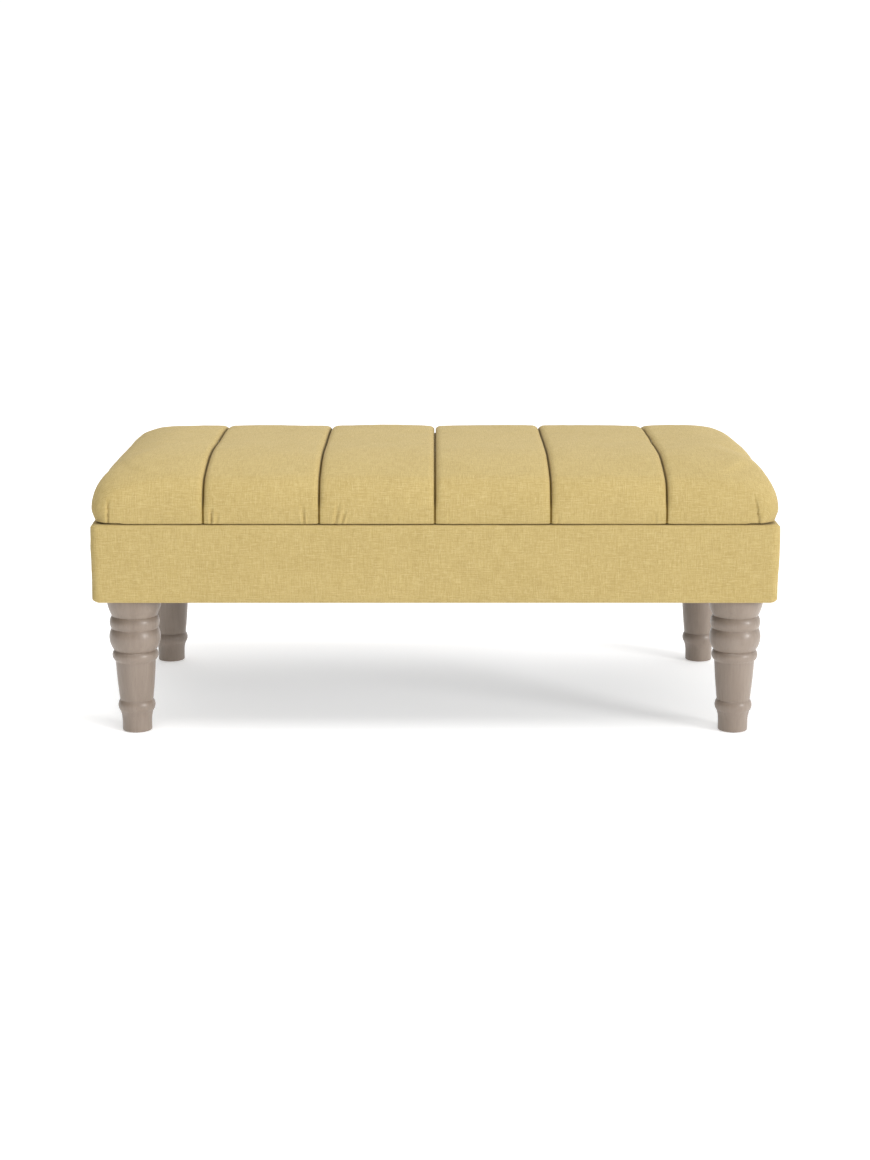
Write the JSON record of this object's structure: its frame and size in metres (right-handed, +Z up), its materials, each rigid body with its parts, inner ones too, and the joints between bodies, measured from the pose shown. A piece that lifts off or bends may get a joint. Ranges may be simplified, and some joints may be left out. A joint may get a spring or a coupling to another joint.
{
  "type": "storage ottoman",
  "caption": "Bench-length storage ottoman: channelled, crowned upholstered lid hinged at the rear over a fabric-covered box, on turned wooden legs",
  "frame": {"origin": "on the floor, below the centre of the ottoman's plan outline", "axes": "+Z up; +X along the width, to the right as seen from the front; -Y is the front, +Y the hinge side"},
  "size_m": [1.1, 0.61, 0.454],
  "materials": {
    "upholstery_fabric": "linen-look plain weave with slubs, mustard yellow",
    "leg_wood": "washed grey-taupe stain, satin",
    "frame_ply": "raw plywood",
    "frame_timber": "raw softwood",
    "foam": "open-cell polyurethane foam",
    "wadding": "polyester wadding",
    "lining_fabric": "black non-woven lining",
    "under_cloth": "black dust cloth",
    "zinc_steel": "zinc plated",
    "rubber_buffer": "matte",
    "glide_plastic": "moulded nylon"
  },
  "bodies": {
    "base": {"front_rail": "frame_ply", "rear_rail": "frame_ply", "left_rail": "frame_ply", "right_rail": "frame_ply", "floor_board": "frame_ply", "centre_batten": "frame_timber", "corner_block_front_left": "frame_timber", "corner_block_front_right": "frame_timber", "corner_block_rear_left": "frame_timber", "corner_block_rear_right": "frame_timber", "leg_front_left": "leg_wood", "leg_front_right": "leg_wood", "leg_rear_left": "leg_wood", "leg_rear_right": "leg_wood", "leg_glides": "glide_plastic", "leg_t_nuts": "zinc_steel", "leg_hanger_bolts": "zinc_steel", "base_wadding": "wadding", "base_cover": "upholstery_fabric", "storage_lining": "lining_fabric", "under_cloth": "under_cloth", "rim_buffers": "rubber_buffer", "hinge_left_base_leaf": "zinc_steel", "hinge_centre_base_leaf": "zinc_steel", "hinge_right_base_leaf": "zinc_steel", "hinge_pins": "zinc_steel", "hinge_base_screws": "zinc_steel", "stay_left_base_bracket": "zinc_steel", "stay_right_base_bracket": "zinc_steel", "stay_base_screws": "zinc_steel"},
    "lid": {"lid_board": "frame_ply", "lid_foam": "foam", "lid_cover_panel_1": "upholstery_fabric", "lid_cover_panel_2": "upholstery_fabric", "lid_cover_panel_3": "upholstery_fabric", "lid_cover_panel_4": "upholstery_fabric", "lid_cover_panel_5": "upholstery_fabric", "lid_cover_panel_6": "upholstery_fabric", "lid_underside_cloth": "lining_fabric", "hinge_left_lid_leaf": "zinc_steel", "hinge_centre_lid_leaf": "zinc_steel", "hinge_right_lid_leaf": "zinc_steel", "hinge_lid_screws": "zinc_steel", "stay_left_lid_bracket": "zinc_steel", "stay_right_lid_bracket": "zinc_steel", "stay_lid_screws": "zinc_steel"},
    "stay_left_lower": {"stay_left_lower_arm": "zinc_steel", "stay_left_elbow_rivet": "zinc_steel"},
    "stay_right_lower": {"stay_right_lower_arm": "zinc_steel", "stay_right_elbow_rivet": "zinc_steel"},
    "stay_left_upper": {"stay_left_upper_arm": "zinc_steel"},
    "stay_right_upper": {"stay_right_upper_arm": "zinc_steel"}
  },
  "joints": [
    {"name": "lid_hinge", "type": "hinge", "parent": "base", "child": "lid", "pos_m": [0, 0.301, 0.354], "axis": [-1, 0, 0], "range_deg": [0, 95]},
    {"name": "stay_left_lower_pivot", "type": "hinge", "parent": "base", "child": "stay_left_lower", "pos_m": [-0.519, 0.267, 0.292], "axis": [-1, 0, 0], "range_deg": [0, 95]},
    {"name": "stay_left_upper_pivot", "type": "hinge", "parent": "lid", "child": "stay_left_upper", "pos_m": [-0.519, 0.181, 0.34], "axis": [-1, 0, 0], "range_deg": [-95, 0]},
    {"name": "stay_right_lower_pivot", "type": "hinge", "parent": "base", "child": "stay_right_lower", "pos_m": [0.519, 0.267, 0.292], "axis": [-1, 0, 0], "range_deg": [0, 95]},
    {"name": "stay_right_upper_pivot", "type": "hinge", "parent": "lid", "child": "stay_right_upper", "pos_m": [0.519, 0.181, 0.34], "axis": [-1, 0, 0], "range_deg": [-95, 0]}
  ],
  "couplings": [
    {"joint": "stay_left_lower_pivot", "follows": "lid_hinge", "ratio": 1},
    {"joint": "stay_left_upper_pivot", "follows": "lid_hinge", "ratio": -1},
    {"joint": "stay_right_lower_pivot", "follows": "lid_hinge", "ratio": 1},
    {"joint": "stay_right_upper_pivot", "follows": "lid_hinge", "ratio": -1}
  ]
}
